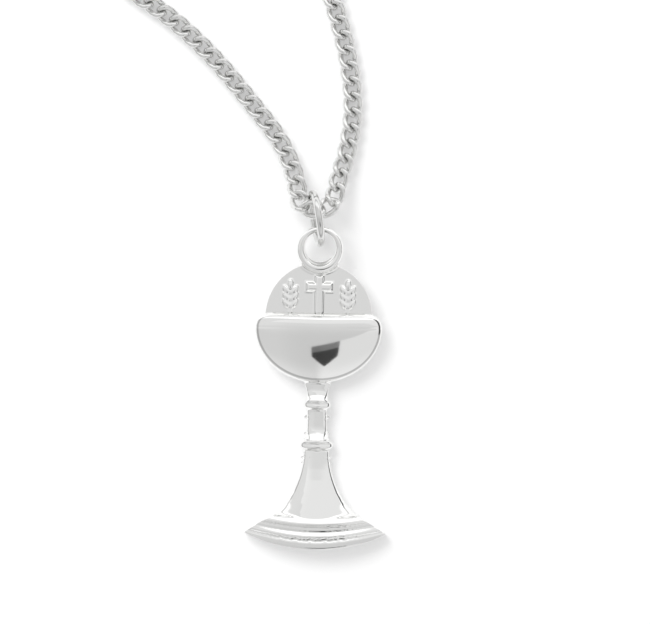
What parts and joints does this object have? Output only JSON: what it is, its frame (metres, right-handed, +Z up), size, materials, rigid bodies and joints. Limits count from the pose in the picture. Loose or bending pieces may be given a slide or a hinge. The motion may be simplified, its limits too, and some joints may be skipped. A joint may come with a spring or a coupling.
{
  "type": "chalice pendant on a curb chain",
  "caption": "Polished silver chalice-and-host pendant on a jump ring and a fine curb chain with a spring-ring clasp, lying flat.",
  "frame": {"origin": "on the table, midway along and midway across the charm with its jump ring", "axes": "+Z up from the table, +Y from the charm's foot towards the chain, +X to the right when seen from above"},
  "size_m": [0.0326, 0.0781, 0.005],
  "materials": {
    "charm_silver": "polished sterling silver, struck and hand buffed",
    "chain_silver": "polished silver wire, diamond-flattened curb links",
    "finding_silver": "polished silver rings and clasp, tumbled",
    "spring_steel": "drawn steel spring wire"
  },
  "bodies": {
    "chain": {"chain_run": "chain_silver", "chain_coil": "chain_silver", "chain_tail_a": "chain_silver", "chain_tail_b": "chain_silver", "end_link_a": "finding_silver", "end_link_b": "finding_silver"},
    "jump_ring": {"jump_ring": "finding_silver"},
    "charm": {"chalice_charm": "charm_silver"},
    "joining_ring": {"joining_ring": "finding_silver"},
    "clasp": {"clasp_body": "finding_silver", "clasp_eyelet": "finding_silver", "clasp_spring": "spring_steel"},
    "tongue": {"clasp_tongue": "finding_silver", "clasp_thumb_knob": "finding_silver"},
    "catch_ring": {"catch_ring": "finding_silver"}
  },
  "joints": [
    {"name": "jump_ring_lift", "type": "hinge", "parent": "chain", "child": "jump_ring", "pos_m": [-0.00047, 0.01388, 0.00225], "axis": [-1, 0, 0], "range_deg": [0, 110]},
    {"name": "charm_swing", "type": "hinge", "parent": "jump_ring", "child": "charm", "pos_m": [0, 0.01094, 0.002], "axis": [0.1116, 0.0189, 0.9936], "range_deg": [-60, 60]},
    {"name": "joining_ring_lift", "type": "hinge", "parent": "chain", "child": "joining_ring", "pos_m": [-0.01562, 0.0447, 0.001], "axis": [0.4997, 0.8662, 0], "range_deg": [0, 30]},
    {"name": "clasp_swivel", "type": "hinge", "parent": "joining_ring", "child": "clasp", "pos_m": [-0.01695, 0.04546, 0.00098], "axis": [0, 0, 1], "range_deg": [-2, 25]},
    {"name": "tongue_slide", "type": "hinge", "parent": "clasp", "child": "tongue", "pos_m": [-0.01464, 0.04777, 0.00071], "axis": [0.0582, 0.0582, 0.9966], "range_deg": [0, 60], "stiffness_Nm_per_rad": 0.0002, "springref_deg": -28.65, "deforming": ["clasp_spring"]},
    {"name": "catch_ring_lift", "type": "hinge", "parent": "chain", "child": "catch_ring", "pos_m": [-0.01424, 0.05377, 0.001], "axis": [-0.1383, 0.9904, 0], "range_deg": [0, 22]}
  ]
}
